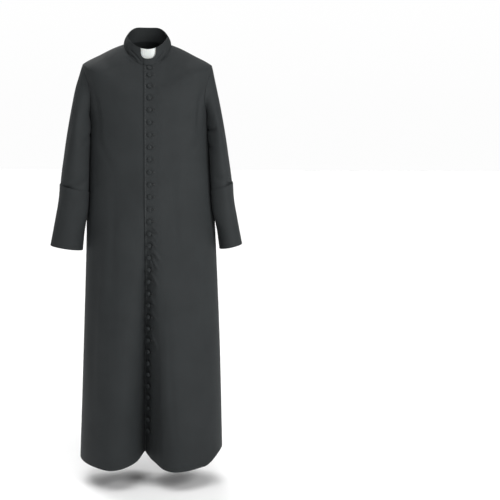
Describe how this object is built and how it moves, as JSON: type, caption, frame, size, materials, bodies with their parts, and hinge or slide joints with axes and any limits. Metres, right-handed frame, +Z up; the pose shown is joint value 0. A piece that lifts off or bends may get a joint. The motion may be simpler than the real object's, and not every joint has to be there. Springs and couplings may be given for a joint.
{
  "type": "cassock",
  "caption": "Full-length black robe with a standing collar, white collar tab, turned-back cuffs and a long row of covered front buttons, hollow as when worn.",
  "frame": {"origin": "the middle of the wearer's neck, level with the points where the shoulder seams meet the collar: the place where the robe hangs from the wearer", "axes": "+X to the wearer's left, -Y to the front, +Z up; the hem is at about z = -1.43 m and the collar's back edge at z = +0.06 m"},
  "size_m": [0.6534, 0.3172, 1.4918],
  "materials": {
    "black_cloth": "matt twill suiting",
    "covered_button": "cloth drawn over a small dome",
    "white_tab": "smooth, washable"
  },
  "bodies": {
    "root": {"front_left": "black_cloth", "front_right": "black_cloth", "back_left": "black_cloth", "back_right": "black_cloth", "sleeve_left": "black_cloth", "sleeve_right": "black_cloth", "cuff_left": "black_cloth", "cuff_right": "black_cloth", "collar": "black_cloth", "collar_tab": "white_tab", "button_01": "covered_button", "button_02": "covered_button", "button_03": "covered_button", "button_04": "covered_button", "button_05": "covered_button", "button_06": "covered_button", "button_07": "covered_button", "button_08": "covered_button", "button_09": "covered_button", "button_10": "covered_button", "button_11": "covered_button", "button_12": "covered_button", "button_13": "covered_button", "button_14": "covered_button", "button_15": "covered_button", "button_16": "covered_button", "button_17": "covered_button", "button_18": "covered_button", "button_19": "covered_button", "button_20": "covered_button", "button_21": "covered_button", "button_22": "covered_button", "button_23": "covered_button", "button_24": "covered_button", "button_25": "covered_button", "button_26": "covered_button", "button_27": "covered_button", "button_28": "covered_button", "button_29": "covered_button", "button_30": "covered_button", "button_31": "covered_button", "button_32": "covered_button"}
  },
  "joints": []
}
